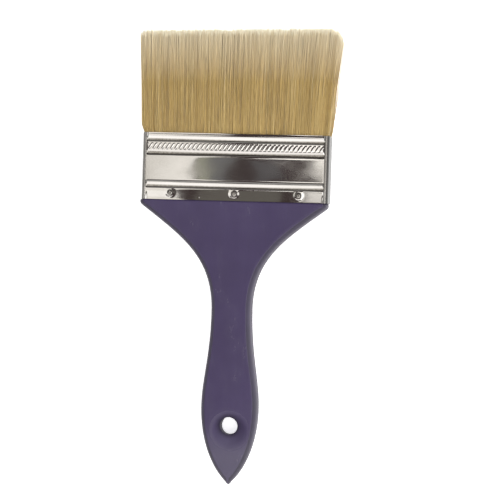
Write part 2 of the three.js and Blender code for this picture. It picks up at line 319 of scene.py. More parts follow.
def natural_bristle():
    """Tan hog bristle, a shade per strand, darker at the root, with painted shade in partings and
    painted light at the tips.
    """
    finish = Finish("natural_bristle", IOR=1.45, Specular_IOR_Level=0.35, Sheen_Weight=0.15,
                    Sheen_Roughness=0.4)
    flecks = finish.noise(0.4, stretch=(1, 12, 1), detail=2)
    hair = finish.ramp(finish.value("strand"), [
        (0.0, (0.345, 0.225, 0.08)),
        (0.35, (0.522, 0.374, 0.145)),
        (0.75, (0.67, 0.515, 0.228)),
        (1.0, (0.77, 0.65, 0.385)),
    ])
    hair = finish.mix(finish.spread(flecks, 0.42, 0.66, 0.0, 0.45), hair, (0.36, 0.235, 0.085))
    warm = finish.spread(finish.value("warm"), 0, 1, 0, 0.5)
    hair = finish.mix(warm, hair, (0.55, 0.35, 0.09))
    # painted light: the tips paled as if lit through
    hair = finish.mix(finish.value("pale"), hair, (1.0, 0.96, 0.79))
    finish.feed("Base Color", hair)
    finish.feed("Roughness", finish.spread(flecks, 0.3, 0.7, 0.42, 0.6))
    return finish.material


def set_resin():
    """The amber resin that the bristle roots are set in, with bubbles and clouds."""
    finish = Finish("set_resin", IOR=1.52)
    cloud = finish.noise(5, detail=4)
    resin = finish.ramp(finish.spread(cloud, 0.3, 0.7), [
        (0.0, (0.30, 0.17, 0.06)),
        (1.0, (0.46, 0.29, 0.12)),
    ])
    finish.feed("Base Color", resin)
    finish.feed("Roughness", finish.spread(cloud, 0.3, 0.7, 0.22, 0.45))
    finish.feed("Normal", finish.bump(finish.noise(1.2, detail=3), 0.08, 0.5))
    return finish.material


def bare_wood():
    """Unpainted softwood of the plugs, with its grain running across the brush."""
    finish = Finish("bare_wood", IOR=1.45)
    grain = finish.noise(0.8, stretch=(25, 1, 1), detail=4)
    wood = finish.ramp(finish.spread(grain, 0.3, 0.7), [
        (0.0, (0.42, 0.27, 0.13)),
        (1.0, (0.66, 0.49, 0.29)),
    ])
    finish.feed("Base Color", wood)
    finish.feed("Roughness", finish.spread(grain, 0.3, 0.7, 0.6, 0.8))
    finish.feed("Normal", finish.bump(grain, 0.06, 0.6))
    return finish.material


def pale_floor():
    """A white table lit a little from inside, so that nothing on it throws a hard shadow."""
    finish = Finish("pale_floor", Specular_IOR_Level=0.2, Emission_Strength=0.7,
                    Emission_Color=(1, 1, 1, 1))
    tone = finish.ramp(finish.noise(400, detail=2), [
        (0.0, (0.90, 0.90, 0.90)),
        (1.0, (0.93, 0.93, 0.93)),
    ])
    finish.feed("Base Color", tone)
    finish.feed("Roughness", finish.spread(finish.noise(60), 0.3, 0.7, 0.6, 0.75))
    return finish.material


# ---- Handle ----

SHOULDER_THICKNESS = HANDLE_HIGH[2] - HANDLE_LOW[2]
SHOULDER_CORNER = (47.2, 4.5)  # half width and drop where the slope turns up into the shoulder
TAIL_THINNING = 2.0  # the tail is this much thinner than the shoulder
TAIL_DROOP = 2.6  # and each face of it drops by this much more over its last stretch
TAIL_DROOP_LENGTH = 36
TAIL_ROUNDING = 3.0
TAIL_END_HALF_WIDTH = 1.4
TAIL_END_RISE = 1.4
NECK_HALF_WIDTH = 10.5
NECK_DROP = 58
BELLY_HALF_WIDTH = 15
BELLY_DROP = 109.5
EDGE_ROUNDING = 2.4
EDGE_DROP = 3.6  # the rounded edges reach this far down the sides
FACE_WAVINESS = 0.035
FACE_WAVE_LENGTH = 34
TOP_EDGE_ROUNDING = 0.6
TENON_GAP = 0.15
HOLE_RADIUS = 4.65
HOLE_EDGE_ROUNDING = 0.5
DISH_RADIUS = 8.2
DISH_DEPTH = 3.8
DISH_SHIFT = (0.8, -2.2)
DISH_RIM_SOFTNESS = 0.85
BORE_STEPS = 7
FACE_COLUMNS = 32
HANDLE_ROWS = 210
PATCH_MARGIN = 2  # columns between the patch around the hole and the edge of the flat face
PATCH_REACH = (-13.5, 11.5)  # how far that patch runs from the hole along the handle


def handle_outline():
    """The handle's edge as (half width, y), evenly spaced from the tail to the shoulder."""
    def at(half_width, drop):
        return half_width, SHOULDER_Y - drop

    tail_end = (TAIL_END_HALF_WIDTH, TAIL_Y + TAIL_END_RISE)
    belly = at(BELLY_HALF_WIDTH, BELLY_DROP)
    neck = at(NECK_HALF_WIDTH, NECK_DROP)
    corner = at(*SHOULDER_CORNER)
    arcs = [
        bezier([(0.4, TAIL_Y), (0.9, TAIL_Y + 0.2), tail_end], 40),
        bezier([tail_end, at(8.4, 142.6), at(BELLY_HALF_WIDTH, 128.6), belly], 400),
        bezier([belly, at(BELLY_HALF_WIDTH, 94.5), at(NECK_HALF_WIDTH, 82.3), neck], 400),
        bezier([neck, at(NECK_HALF_WIDTH, 30.6), at(26.4, 20.1), corner], 400),
        bezier([corner, at(SHOULDER_HALF_WIDTH, 2.5), at(SHOULDER_HALF_WIDTH, 1.6)], 60),
    ]
    edge = np.concatenate([arc[:-1] for arc in arcs] + [arcs[-1][-1:]])
    run = np.concatenate([[0], np.cumsum(np.linalg.norm(np.diff(edge, axis=0), axis=1))])
    stations = run[-1] * np.linspace(0, 1, HANDLE_ROWS)
    return np.stack([np.interp(stations, run, edge[:, k]) for k in (0, 1)], 1)


def lean(y):
    """The handle is set a little askew: where its centre line is at a place along it."""
    slope = (SHOULDER_LEAN - HOLE_X) / (SHOULDER_Y - HOLE_Y)
    return HOLE_X + slope * (y - HOLE_Y)


def from_dish(x, y):
    """How far a place on the face is from the middle of the dish."""
    return np.hypot(x - HOLE_X - DISH_SHIFT[0], y - HOLE_Y - DISH_SHIFT[1])


def dish_depth(x, y):
    """How far the dish around the hole is sunk below the handle's face, with a softened rim."""
    side = bezier([(0, DISH_DEPTH), (0.72 * DISH_RADIUS, DISH_DEPTH), (DISH_RADIUS, 0),
                   (1.5 * DISH_RADIUS, -1.2 * DISH_DEPTH)], 80)
    radius = from_dish(x, y)
    depth = DISH_RIM_SOFTNESS * np.logaddexp(
        0, np.interp(radius, side[:, 0], side[:, 1]) / DISH_RIM_SOFTNESS)
    return depth * (radius < 1.5 * DISH_RADIUS)


def half_thickness(y):
    """Half the handle's thickness at a place along it, without the dish."""
    share = (SHOULDER_Y - y) / (SHOULDER_Y - TAIL_Y)
    from_tail = np.clip((y - TAIL_Y) / TAIL_ROUNDING, 0, 1)
    rounded = TAIL_ROUNDING * (1 - np.sqrt(1 - (1 - from_tail) ** 2))
    droop = TAIL_DROOP * np.clip(1 - (y - TAIL_Y) / TAIL_DROOP_LENGTH, 0, 1) ** 2
    return (SHOULDER_THICKNESS - TAIL_THINNING * share) / 2 - rounded - droop


def face_height(x, y):
    """The handle's face above its middle plane, before the edges are rounded."""
    waviness = FACE_WAVINESS * waves(x, y, FACE_WAVE_LENGTH, seed=3)
    return half_thickness(y) - dish_depth(x, y) + waviness


def handle_section(half_width, y, rounding_x, rounding_z, inset):
    """One closed section of the handle, and how strongly each point belongs to a rounded edge."""
    flat = half_width - inset - rounding_x
    turn = np.linspace(0, math.pi / 2, 9)[1:]
    face_x = np.linspace(-flat, flat, FACE_COLUMNS + 1)
    top = half_thickness(y) - inset
    arc_x = flat + rounding_x * np.sin(turn)
    arc_z = top - rounding_z * (1 - np.cos(turn))
    wall_z = np.linspace(arc_z[-1], -arc_z[-1], 7)[1:-1]
    wall_x = np.full_like(wall_z, flat + rounding_x)
    front = np.stack([face_x, face_height(face_x + lean(y), y) - inset], 1)
    right = np.concatenate([
        np.stack([arc_x, arc_z], 1),
        np.stack([wall_x, wall_z], 1),
        np.stack([arc_x, -arc_z], 1)[::-1],
    ])
    section = np.concatenate([front, right, front[::-1] * (1, -1), right[::-1] * (-1, 1)])
    edge = np.concatenate([np.zeros(len(front)), np.ones(len(right))] * 2)
    return section, edge


def handle_rows():
    """Every row of the handle as (half width, y, roundings along x and z, inset), from the tail."""
    outline = handle_outline()
    slope = np.abs(np.gradient(outline[:, 0], outline[:, 1]))
    rows = []
    for (half_width, y), flare in zip(outline, slope):
        rounding_x = min(EDGE_ROUNDING * math.hypot(1, flare), 0.9 * half_width)
        rounding_z = min(EDGE_DROP, 0.8 * half_thickness(y))
        rows.append((half_width, y, rounding_x, rounding_z, 0.0))
    for turn in np.radians([0, 30, 60, 90]):
        y = SHOULDER_Y - TENON_GAP - TOP_EDGE_ROUNDING * (1 - math.sin(turn))
        inset = TOP_EDGE_ROUNDING * (1 - math.cos(turn))
        rows.append((SHOULDER_HALF_WIDTH, y, EDGE_ROUNDING, EDGE_DROP, inset))
    return rows


def hole_patch(points, faces, boundary, side):
    """Rings on one face from the hanging hole out to a closed boundary.

    Returns the points with the rings added, and the ring at the bore.
    """
    ring = points[boundary]
    angle = np.arctan2(ring[:, 1] - HOLE_Y, ring[:, 0] - HOLE_X)
    outward = np.stack([np.cos(angle), np.sin(angle)], 1)
    centre = np.array([HOLE_X, HOLE_Y])
    rings = []
    for turn in np.radians([0, 22.5, 45, 67.5, 90]):
        reach = HOLE_RADIUS + HOLE_EDGE_ROUNDING * (1 - math.cos(turn))
        rings.append((centre + reach * outward, HOLE_EDGE_ROUNDING * (1 - math.sin(turn))))
    lip = rings[-1][0]
    for share in np.linspace(0, 1, 26)[1:-1]:
        rings.append((lip + share * (ring[:, :2] - lip), 0.0))
    count = len(boundary)
    start = len(points)
    added = []
    for place_xy, drop in rings:
        height = face_height(place_xy[:, 0], place_xy[:, 1]) - drop
        added.append(np.column_stack([place_xy, side * height]))
    points = np.concatenate([points, *added])
    quads = grid_quads(len(rings), count, start).reshape(-1, 4)
    last = start + (len(rings) - 1) * count + np.arange(count)
    joint = np.stack([last, np.roll(last, -1), np.roll(boundary, -1), boundary], 1)
    quads = np.concatenate([quads, joint])
    faces.append(quads[:, ::-1] if side > 0 else quads)
    return points, start + np.arange(count)


def patch_boundary(first_row, last_row, first_column, last_column, columns):
    """The grid's vertices around a rectangle of its cells, in order."""
    low = [first_row * columns + c for c in range(first_column, last_column)]
    right = [r * columns + last_column for r in range(first_row, last_row)]
    high = [last_row * columns + c for c in range(last_column, first_column, -1)]
    left = [r * columns + first_column for r in range(last_row, first_row, -1)]
    return np.array(low + right + high + left)


def handle_skin():
    """The handle and its tenon, with a dish in each face but no bore and no ends yet."""
    sections, edges = [], []
    for half_width, y, rounding_x, rounding_z, inset in handle_rows():
        section, edge = handle_section(half_width, y, rounding_x, rounding_z, inset)
        sections.append(np.column_stack([section[:, 0], np.full(len(section), y), section[:, 1]]))
        edges.append(edge)
    for section in sections:
        section[:, 0] += lean(section[0, 1])
    tenon, _ = handle_section(FILLING_HALF_WIDTH, SHOULDER_Y, EDGE_ROUNDING, EDGE_ROUNDING, 0.0)
    tenon[:, 1] *= 2 * FILLING_HALF_THICKNESS / SHOULDER_THICKNESS
    for y in (sections[-1][0, 1], TENON_TOP_Y):
        sections.append(np.column_stack([tenon[:, 0], np.full(len(tenon), y), tenon[:, 1]]))
        edges.append(np.zeros(len(tenon)))
    rows, columns = len(sections), len(sections[0])
    points = np.concatenate(sections)
    quads = grid_quads(rows, columns)

    row_y = np.array([section[0, 1] for section in sections])
    first_row, last_row = np.searchsorted(row_y, HOLE_Y + np.array(PATCH_REACH))
    cells = np.ones((rows - 1, columns), bool)
    back_start = FACE_COLUMNS + 1 + (columns - 2 * (FACE_COLUMNS + 1)) // 2
    column_ranges = {}
    for side, start in ((1, 0), (-1, back_start)):
        first, last = start + PATCH_MARGIN, start + FACE_COLUMNS - PATCH_MARGIN
        column_ranges[side] = (first, last)
        cells[first_row:last_row, first:last] = False
    faces = [quads[cells][:, ::-1]]

    bore_rings = {}
    for side, (first_column, last_column) in column_ranges.items():
        boundary = patch_boundary(first_row, last_row, first_column, last_column, columns)
        if side < 0:
            boundary = boundary[::-1]
        points, bore_rings[side] = hole_patch(points, faces, boundary, side)
    return points, faces, np.concatenate(edges), bore_rings, columns, rows


def painted_handle():
    """Joins the two dishes by the bore, closes both ends and makes the object."""
    points, faces, edge, bore, columns, rows = handle_skin()
    front, back = bore[1], bore[-1]
    turn_front = np.arctan2(points[front, 1] - HOLE_Y, points[front, 0] - HOLE_X)
    turn_back = np.arctan2(points[back, 1] - HOLE_Y, points[back, 0] - HOLE_X)
    match = [int(np.argmin(np.abs(np.angle(np.exp(1j * (turn_back - a)))))) for a in turn_front]
    back = back[match]
    walls = [front]
    for share in np.linspace(0, 1, BORE_STEPS + 1)[1:-1]:
        middle = points[front] + share * (points[back] - points[front])
        walls.append(len(points) + np.arange(len(front)))
        points = np.concatenate([points, middle])
    walls.append(back)
    for near, far in zip(walls, walls[1:]):
        faces.append(np.stack([near, np.roll(near, -1), np.roll(far, -1), far], 1))
    ends = [list(range(columns)), list(range((rows - 1) * columns, rows * columns))[::-1]]
    all_faces = np.concatenate(faces).tolist() + ends
    points[:, 2] += MIDDLE_Z
    obj = mesh_object("painted_handle", points, all_faces, sharp_deg=60)
    x, y, _ = points.T
    from_bore = np.maximum(np.hypot(x - HOLE_X, y - HOLE_Y) - HOLE_RADIUS, 0)
    # the rounded edges, with a painted grey reflection and more roughness
    point_values(obj, "edge", np.pad(edge, (0, len(points) - len(edge))))
    # painted shade around the bore
    point_values(obj, "bore_shade", np.exp(-(from_bore / 1.7) ** 2))
    # painted sheen on the tail
    point_values(obj, "tail_sheen", 1 - smoothstep(TAIL_Y + 12, HOLE_Y + 2, y))
    point_values(obj, "dished", 1 - smoothstep(DISH_RADIUS - 0.5, DISH_RADIUS + 3, from_dish(x, y)))
    place(obj, painted_wood(), "handle_paint", "handle")


# ---- Ferrule ----

FERRULE_CORNER = 1.8
SHEET = 0.4
LIP_HEIGHT = 0.7
RIB_COUNT = 41
STEPS_PER_RIB = 8
PANEL_HALF_THICKNESS = (FERRULE_HIGH[2] - FERRULE_LOW[2]) / 2 - LIP_HEIGHT
STRIP_TOP = 29.6  # the lower strip, which isn't darkened, begins this far from the mouth
# Tops and bottoms of the pressed beads, as (distance from the mouth, height), smooth between them
BEADS = [(0, LIP_HEIGHT - 0.1), (1.5, LIP_HEIGHT), (4.0, -0.35), (4.9, 0.1), (8.9, 0.25),
         (11.1, -0.35), (12.2, 0), (25.3, 0), (26.2, 0.5), (28.6, -0.3), (STRIP_TOP, 0.05),
         (FERRULE_LENGTH, -0.25)]
ROWS_PER_SPAN = [4, 9, 5, 16, 8, 5, 16, 5, 8, 5, 14]
INNER_ROW_STEP = 4  # the plain inside has one row for every four of the outside
BEAD_END = 47.8  # the beads stop this far from the middle
RIB_HEIGHT = 0.12
RIB_HALF_WIDTH = 0.64
RIB_LEAN = 0.62  # sideways run of a rib for each unit up
RIB_BAND = (5.4, 9.0)
CREASE = 48.05  # the crease that sets the beads apart from the rounded corner
CREASE_DEPTH = 0.05
CREASE_HALF_WIDTH = 0.4
NAIL_X = 34.4
MOUND_RADIUS = 2.5
MOUND_HEIGHT = 0.1
CROWN_DROP = 0.15  # the broad faces are this much lower at their ends than in their middle
PANEL_TOP = 11.5
PANEL_WAVINESS = 0.018
PANEL_WAVE_LENGTH = 24
PIMPLE = (-18, 34.2)  # a dent from inside, as x and distance from the mouth
PIMPLE_RADIUS = 0.6
PIMPLE_HEIGHT = 0.025
SEAM_STEP = 0.25
SEAM_HALF_GAP = 0.05
# How far the rounded ends are made rough and given painted shade, at places from the middle of the
# brush
DULL_SHADE_RIGHT = ([47.3, 47.6, 48.0, 48.8, 49.3], [0, 0.8, 0.3, 0.2, 0.88])
DULL_SHADE_LEFT = ([47.6, 48.6], [0, 0.52])
# The parts of the ferrule's section
ENDS, SEAMED_END = 0, 2


def bead_height(drop):
    """The pressed profile of the broad faces at a distance from the mouth."""
    height = np.zeros_like(drop)
    for (start, low), (end, high) in zip(BEADS, BEADS[1:]):
        inside = (drop >= start) & (drop <= end)
        height[inside] = low + (high - low) * smoothstep(start, end, drop[inside])
    return height


def ribs(x, drop):
    """The row of slanted ribs under the lip."""
    pitch = 2 * (FERRULE_HALF_WIDTH - FERRULE_CORNER) / RIB_COUNT
    from_ridge = np.abs((x + RIB_LEAN * drop) / pitch % 1 - 0.5) * pitch
    wave = 1 - smoothstep(0, RIB_HALF_WIDTH, from_ridge)
    band = smoothstep(RIB_BAND[0], RIB_BAND[0] + 0.6, drop)
    band = band * (1 - smoothstep(RIB_BAND[1] - 0.6, RIB_BAND[1], drop))
    return RIB_HEIGHT * wave * band


def rib_shift(x, drop):
    """How far the mesh columns lean sideways through the ribbed band, to run along the ribs."""
    middle = sum(RIB_BAND) / 2
    away = np.clip(drop, *RIB_BAND) - middle
    easing_in = smoothstep(RIB_BAND[0] - 5, RIB_BAND[0], drop)
    easing_out = 1 - smoothstep(RIB_BAND[1], RIB_BAND[1] + 3, drop)
    near_end = smoothstep(43, CREASE, np.abs(x))
    return -RIB_LEAN * away * (easing_in * easing_out) * (1 - near_end)


def pressed(x, y, side):
    """How far the sheet stands out of its flat panel, on the front (1) or back (-1) face."""
    drop = MOUTH_Y - y
    end = 1 - smoothstep(BEAD_END - 0.9, BEAD_END, np.abs(x))
    height = end * (bead_height(drop) + ribs(x, drop))
    for nail_x in (-NAIL_X, 0, NAIL_X):
        away = np.hypot(x - nail_x, y - NAIL_Y)
        height = height + MOUND_HEIGHT * np.exp(-(away / MOUND_RADIUS) ** 6)
    from_crease = (np.abs(x) - CREASE) / CREASE_HALF_WIDTH
    height = height - CREASE_DEPTH * np.exp(-from_crease ** 2)
    crown = -CROWN_DROP * (x / FERRULE_HALF_WIDTH) ** 2
    panel = smoothstep(PANEL_TOP, PANEL_TOP + 2.5, drop)
    waviness = panel * PANEL_WAVINESS * waves(x, y, PANEL_WAVE_LENGTH, seed=11 + side)
    height = height + crown + waviness
    if side > 0:
        away = np.hypot(x - PIMPLE[0], drop - PIMPLE[1])
        height = height + PIMPLE_HEIGHT * np.exp(-(away / PIMPLE_RADIUS) ** 2)
    return height


def ferrule_loop():
    """The flat rounded section as points, outward normals and the part each point is on.

    The front is part 1 and the back is part -1.
    """
    flat_x = FERRULE_HALF_WIDTH - FERRULE_CORNER
    flat_z = PANEL_HALF_THICKNESS - FERRULE_CORNER
    turn = np.linspace(0, math.pi / 2, 9)
    x = np.linspace(-flat_x, flat_x, RIB_COUNT * STEPS_PER_RIB + 1)
    z = np.linspace(flat_z, -flat_z, 13)[1:-1]
    seam_z = np.sort(np.concatenate([z[np.abs(z) > 0.3], [-SEAM_HALF_GAP, SEAM_HALF_GAP]]))
    corner = np.stack([np.sin(turn), np.cos(turn)], 1)[1:]
    points, normals, parts = [], [], []

    def add(place_xz, normal, part):
        points.append(place_xz)
        normals.append(np.broadcast_to(np.array(normal, float), place_xz.shape))
        parts.append(np.full(len(place_xz), part))

    def add_corner(centre, normal):
        add(centre + FERRULE_CORNER * normal, normal, ENDS)

    def across(xs, z_at):
        return np.stack([xs, np.full(len(xs), z_at)], 1)

    def along_end(x_at, zs):
        return np.stack([np.full(len(zs), x_at), zs], 1)

    add(across(x, flat_z + FERRULE_CORNER), (0, 1), 1)
    add_corner([flat_x, flat_z], corner)
    add(along_end(FERRULE_HALF_WIDTH, z), (1, 0), ENDS)
    add_corner([flat_x, -flat_z], corner[::-1] * (1, -1))
    add(across(x[::-1], -flat_z - FERRULE_CORNER), (0, -1), -1)
    add_corner([-flat_x, -flat_z], corner * (-1, -1))
    add(along_end(-FERRULE_HALF_WIDTH, seam_z), (-1, 0), SEAMED_END)
    add_corner([-flat_x, flat_z], corner[::-1] * (-1, 1))
    return np.concatenate(points), np.concatenate(normals), np.concatenate(parts)


def ferrule_row_y():
    """Where the rows of the ferrule's outside are, from the mouth down."""
    drops = [0.0]
    for (start, _), (end, _), rows in zip(BEADS, BEADS[1:], ROWS_PER_SPAN):
        drops.extend(np.linspace(start, end, rows + 1)[1:])
    return MOUTH_Y - np.array(drops)


def tin_ferrule():
    """The pressed and seamed strip of tinplate, open at both ends."""
    loop, normal, part = ferrule_loop()
    broad = np.abs(part) == 1
    outer, recess = [], []
    for y in ferrule_row_y():
        drop = MOUTH_Y - y
        out = np.zeros(len(loop))
        shift = rib_shift(loop[:, 0], drop) * broad
        for side in (1, -1):
            on = part == side
            out[on] = pressed(loop[on, 0] + shift[on], np.full(on.sum(), y), side)
        seam = part == SEAMED_END
        out[seam] = SEAM_STEP * (loop[seam, 1] > 0)
        skin = loop + out[:, None] * normal
        skin[:, 0] += shift
        outer.append(np.column_stack([skin[:, 0], np.full(len(loop), y), skin[:, 1]]))
        above_strip = 1 - smoothstep(STRIP_TOP - 1.2, STRIP_TOP, drop)
        recess.append(above_strip * np.clip(-(out + 0.05) / 0.22, 0, 1) * broad)
    inner = []
    for number in (*range(len(outer) - 1, 0, -INNER_ROW_STEP), 0):
        moved = outer[number].copy()
        moved[:, [0, 2]] -= SHEET * normal
        inner.append(moved)
    sheets = outer + inner
    points = np.concatenate(sheets)
    quads = grid_quads(len(sheets), len(loop)).reshape(-1, 4)
    last = (len(sheets) - 1) * len(loop) + np.arange(len(loop))
    first = np.arange(len(loop))
    closing = np.stack([last, np.roll(last, -1), np.roll(first, -1), first], 1)
    points[:, 2] += MIDDLE_Z
    faces = np.concatenate([quads, closing])[:, ::-1]
    obj = mesh_object("tin_ferrule", points, faces, sharp_deg=50)
    recess = np.concatenate(recess)
    point_values(obj, "recess", np.pad(recess, (0, len(points) - len(recess))))
    # painted shade and roughness on the rounded ends and side walls
    from_middle = np.abs(loop[:, 0])
    right = np.interp(from_middle, *DULL_SHADE_RIGHT)
    left = np.interp(from_middle, *DULL_SHADE_LEFT)
    dull_and_shaded = np.where(loop[:, 0] > 0, right, left)
    point_values(obj, "dull_and_shaded", np.tile(dull_and_shaded, len(sheets)))
    place(obj, tinplate(), "ferrule_tinplate", "ferrule")


# ---- Nails ----

SHANK_RADIUS = 0.65
NAIL_TILT = 0.06
NAIL_SEGMENTS = 40


def nail_profile(head_radius, length):
    """A nail's side as (radius, height below the top of its head), from the point up."""
    dome = bezier([(head_radius, -0.55), (head_radius, -0.15), (0.6 * head_radius, 0), (0, 0)], 10)
    return [(0.05, -length), (0.5, 1.3 - length), (SHANK_RADIUS, 1.6 - length),
            (SHANK_RADIUS, -0.75), (0.9 * head_radius, -0.7), *dome[:-1]]


def domed_nail(node, number, facing, material):
    """A domed, slightly battered nail head on its shank."""
    turn = np.linspace(0, math.tau, NAIL_SEGMENTS, endpoint=False)
    low, high = box_mm(node)
    x, y = (low[:2] + high[:2]) / 2
    head_radius = (high[0] - low[0]) / 2
    top = high[2] if facing > 0 else low[2]
    tilt = np.random.default_rng(40 + number).uniform(-NAIL_TILT, NAIL_TILT, 2)
    rings = []
    for radius, height in nail_profile(head_radius, high[2] - low[2]):
        ring_x = radius * np.cos(turn)
        ring_y = radius * np.sin(turn)
        ring_z = np.full(NAIL_SEGMENTS, height)
        if height > -0.5:
            ring_z = ring_z + 0.03 * waves(ring_x + 9 * number, ring_y, 1.6, seed=5)
        if height > -0.8:
            ring_z = ring_z + (ring_x * tilt[0] + ring_y * tilt[1])
        ring_z = top + facing * np.minimum(ring_z, 0)
        rings.append(np.column_stack([x + ring_x, y + ring_y, ring_z]))
    points = np.concatenate([*rings, [[x, y, top]]])
    faces = grid_quads(len(rings), NAIL_SEGMENTS).reshape(-1, 4).tolist()
    last = (len(rings) - 1) * NAIL_SEGMENTS
    for k in range(NAIL_SEGMENTS):
        faces.append([last + k, last + (k + 1) % NAIL_SEGMENTS, len(points) - 1])
    faces.append(list(range(NAIL_SEGMENTS))[::-1])
    if facing < 0:
        faces = [face[::-1] for face in faces]
    obj = mesh_object(f"domed_{node}", points, faces, sharp_deg=50)
    place(obj, material, "nail_steel", node)


def all_nails():
    """Three nails in each broad face."""
    material = nail_steel()
    number = 0
    for side, facing in (("front", 1), ("back", -1)):
        for across in ("left", "centre", "right"):
            domed_nail(f"nail_{side}_{across}", number, facing, material)
            number += 1


# ---- Bristles ----

STRANDS_PER_PACK = 5000
STRAND_RADIUS = 0.19
STRAND_CORNERS = 3
MOUTH_STATION = 2  # a strand's third station is in the ferrule's mouth
TIP_RADIUS = 0.04
INNER_REACH = 1.2  # the middle pack's strands pass between the plugs, this far from the middle
OUTER_START = 4.0  # and the outer packs' strands pass outside them
OUTWARD_DENSITY = 0.6  # below 1, the outer packs are denser towards the brush's faces
BOW = 0.24
STRAY_SHARE = 0.012
FLARE_LEFT = 1.5
FLARE_RIGHT = 3.9
SWELL_LEFT = 1.8  # how far the outermost strands swell just beyond the mouth
SWELL_RIGHT = 0.7
THICKNESS_SPREAD = 1.45  # how far the packs swell beyond the filling's half thickness at the tips
TRIM_SLANT = 1.2
CORNER_LEFT = 5
CORNER_RIGHT = 7
FADE = 3.2  # the strands' ends are spread over this length below the trimmed edge
# the tips are paled over this length, painted light as if shone through
PALE_LENGTH = 5.4
ROOT_SHADE_LENGTH = 24  # the strands darken over this length towards the mouth
ROOT_SHADE = 0.16
MEAN_SHADE = 0.55
# Where strands part, as (place across the brush, how far they part, how dark the painted shade in
# the gap is)
PARTINGS = [(2.6, 0.16, 0.4), (47.2, 0.5, 0.6), (-21, 0.08, 0.3), (24, 0.08, 0.25)]


def trimmed_edge(x):
    """Where the trimmed strands end at a place across the tips."""
    edge = TIP_Y + TRIM_SLANT * x / FERRULE_HALF_WIDTH
    for direction, corner, splay in ((1, CORNER_RIGHT, FLARE_RIGHT + SWELL_RIGHT),
                                     (-1, CORNER_LEFT, FLARE_LEFT + SWELL_LEFT)):
        half = FERRULE_HALF_WIDTH + splay
        into = np.clip((direction * x - (half - corner)) / corner, 0, 1)
        edge = edge - corner * (1 - np.sqrt(1 - into ** 2 * 0.97))
    return edge


def strand_roots(rng, facing, low, high):
    """Where one pack's strands stand: across the brush, and in z beside the plugs and in the mouth.

    The front pack is facing 1, the middle pack 0 and the back pack -1.
    """
    root_x = rng.uniform(-1, 1, STRANDS_PER_PACK) * FILLING_HALF_WIDTH
    depth = rng.random(STRANDS_PER_PACK)
    if facing:
        depth = depth ** OUTWARD_DENSITY
    if facing < 0:
        depth = 1 - depth
    outermost = FILLING_HALF_THICKNESS - STRAND_RADIUS
    mouth_z = np.clip(low + (high - low) * depth, -outermost, outermost)
    if facing:
        plug_z = np.sign(mouth_z) * np.clip(np.abs(mouth_z), OUTER_START, outermost)
    else:
        plug_z = np.clip(mouth_z, -INNER_REACH, INNER_REACH)
    return root_x, plug_z, mouth_z


def strand_tips(rng, root_x, mouth_z):
    """Where the strands end, spread by their flare, their clumps and the partings."""
    count = STRANDS_PER_PACK
    share_x = root_x / FILLING_HALF_WIDTH
    share_z = mouth_z / FILLING_HALF_THICKNESS
    flare = np.where(share_x > 0, FLARE_RIGHT, FLARE_LEFT) * share_x * np.abs(share_x) ** 0.35
    tip_x = root_x + flare
    tip_z = mouth_z + THICKNESS_SPREAD * share_z
    for seed, size, amount in ((21, 1.7, 0.1), (22, 7.5, 0.2)):
        tip_x = tip_x + amount * waves(root_x, 1.5 * mouth_z, size, seed)
        tip_z = tip_z + 0.5 * amount * waves(root_x, 1.5 * mouth_z, size, seed + 50)
    for place_x, width, _ in PARTINGS:
        away = root_x - place_x
        tip_x = tip_x + width * np.sign(away) * np.exp(-np.abs(away) / 2.2)
    tip_x = tip_x + rng.normal(0, 0.6, count)
    tip_z = tip_z + rng.normal(0, 0.45, count)
    stray = rng.random(count) < STRAY_SHARE
    tip_x = tip_x + stray * rng.normal(0, 1.1, count)
    short = FADE * np.sqrt(rng.random(count))
    return tip_x, trimmed_edge(tip_x) - short, tip_z


def strand_paths(rng, facing, low, high):
    """The centre line of every strand of one pack: stations, strands, xyz."""
    count = STRANDS_PER_PACK
    root_x, plug_z, mouth_z = strand_roots(rng, facing, low, high)
    tip_x, tip_y, tip_z = strand_tips(rng, root_x, mouth_z)
    share_x = root_x / FILLING_HALF_WIDTH
    swell = np.where(share_x > 0, SWELL_RIGHT, SWELL_LEFT) * np.sign(share_x) * np.abs(share_x) ** 9
    stations = []
    for y, z in ((ROOT_Y, plug_z), (PLUG_TOP_Y, plug_z), (MOUTH_Y, mouth_z)):
        stations.append(np.stack([root_x, np.full(count, y), z], 1))
    bow_x, bow_z = rng.normal(0, BOW, (2, count))
    for share in (0.08, 0.5, 0.95, 1.0):
        ease = share ** 1.5
        arch = math.sin(math.pi * share)
        x = root_x + (tip_x - root_x) * ease + bow_x * arch + swell * smoothstep(0, 0.1, share)
        z = mouth_z + (tip_z - mouth_z) * (1 - (1 - share) ** 1.6) + bow_z * arch
        z = np.maximum(z, 1.5 * STRAND_RADIUS - MIDDLE_Z)
        y = MOUTH_Y + (tip_y - MOUTH_Y) * share
        stations.append(np.stack([x, y, z], 1))
    return np.stack(stations)


def strand_points(rng, paths):
    """The skin of every strand: a slender tube around its path, closing to a point."""
    girth = rng.uniform(0.75, 1.25, STRANDS_PER_PACK)
    spin = rng.uniform(0, math.tau, STRANDS_PER_PACK)
    radii = np.full(len(paths), STRAND_RADIUS)
    radii[-2:] = 0.9 * STRAND_RADIUS, TIP_RADIUS
    rings = []
    for path, radius in zip(paths, radii):
        for corner in range(STRAND_CORNERS):
            angle = spin + corner * math.tau / STRAND_CORNERS
            offset = np.stack([np.cos(angle), np.zeros(STRANDS_PER_PACK), np.sin(angle)], 1)
            rings.append(path + offset * (radius * girth)[:, None])
    points = np.stack(rings, 1)
    points[:, :, 2] += MIDDLE_Z
    return points


